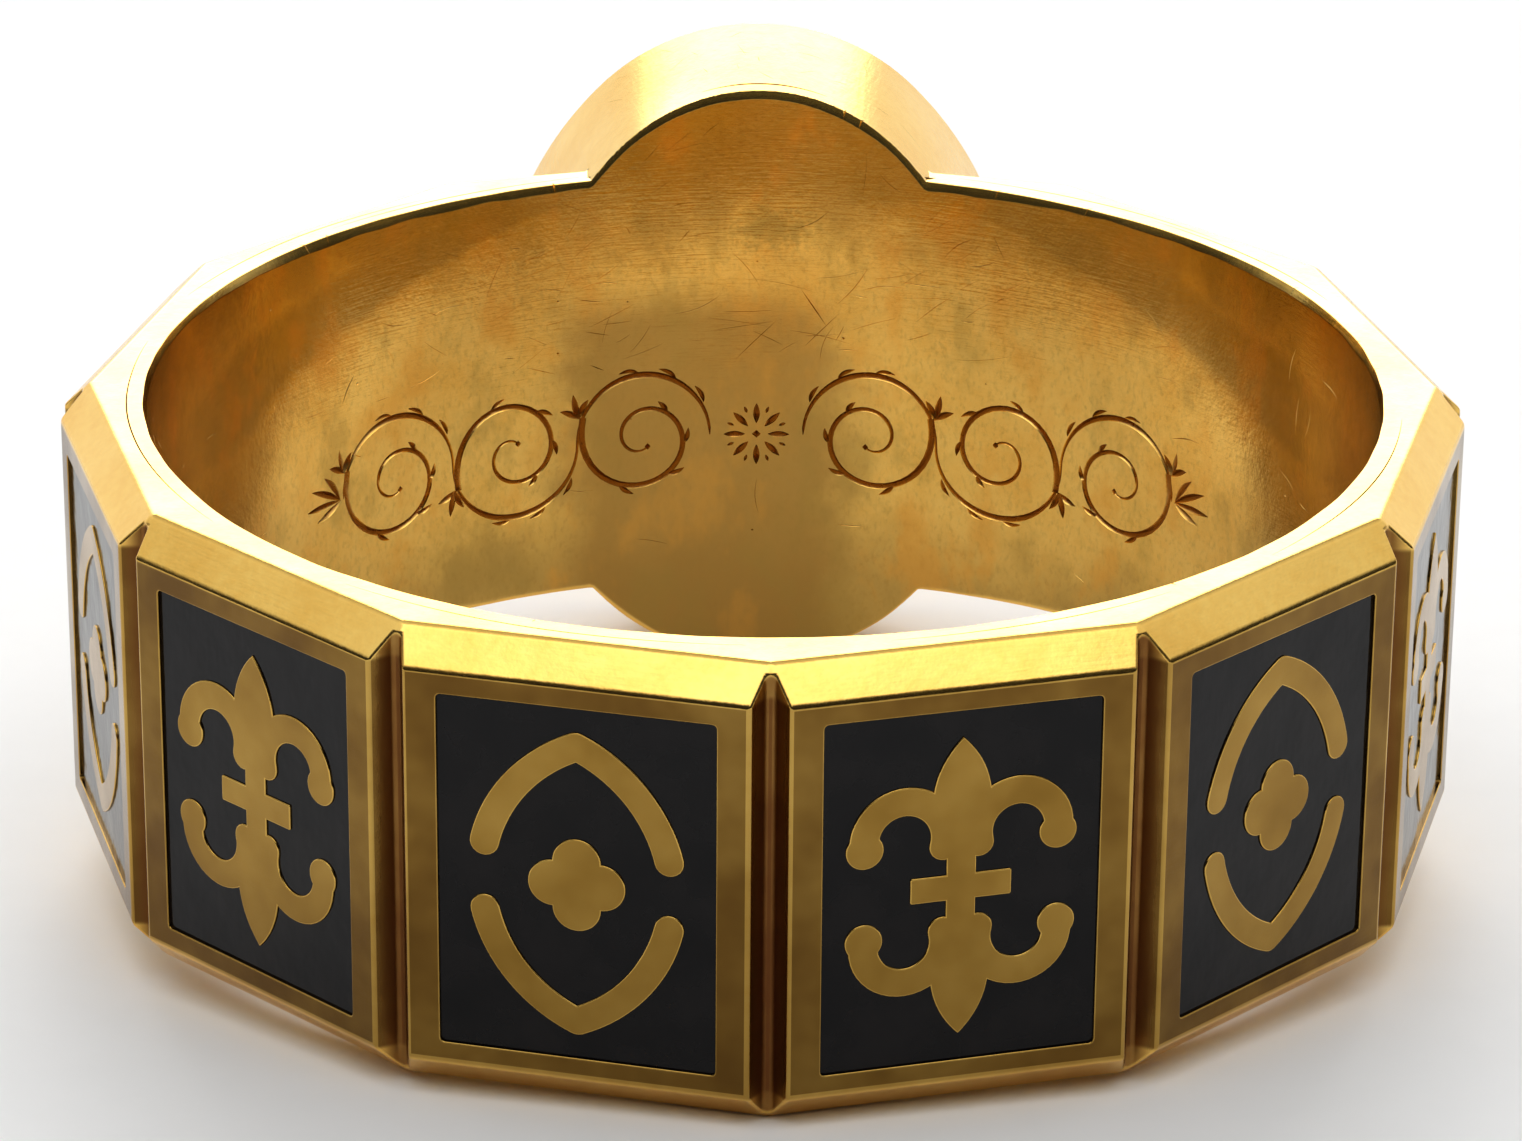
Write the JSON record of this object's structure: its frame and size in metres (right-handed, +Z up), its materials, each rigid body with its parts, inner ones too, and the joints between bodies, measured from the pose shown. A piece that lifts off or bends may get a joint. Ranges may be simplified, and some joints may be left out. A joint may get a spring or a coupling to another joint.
{
  "type": "mourning ring",
  "caption": "Gold mourning ring: a faceted band of black enamelled panels between grooves, with a plain oval bezel. It is worn on a finger and lies on its side.",
  "frame": {"origin": "the middle of the ring's footprint, on the surface that it lies on", "axes": "+Y from the back of the band towards the bezel, +Z up from the surface, and +X across. The finger hole's axis leans 4.79 degrees back from +Z, because the bezel is wider than the band"},
  "size_m": [0.0218, 0.0238, 0.0109],
  "materials": {
    "gold": "polished yellow gold, finely scratched, with brown tarnish in its grooves",
    "black_enamel": "gloss"
  },
  "bodies": {
    "root": {"hoop": "gold", "enamel_1": "black_enamel", "enamel_2": "black_enamel", "enamel_3": "black_enamel", "enamel_4": "black_enamel", "enamel_5": "black_enamel", "enamel_6": "black_enamel", "enamel_7": "black_enamel", "enamel_8": "black_enamel", "enamel_9": "black_enamel", "enamel_10": "black_enamel"}
  },
  "joints": []
}
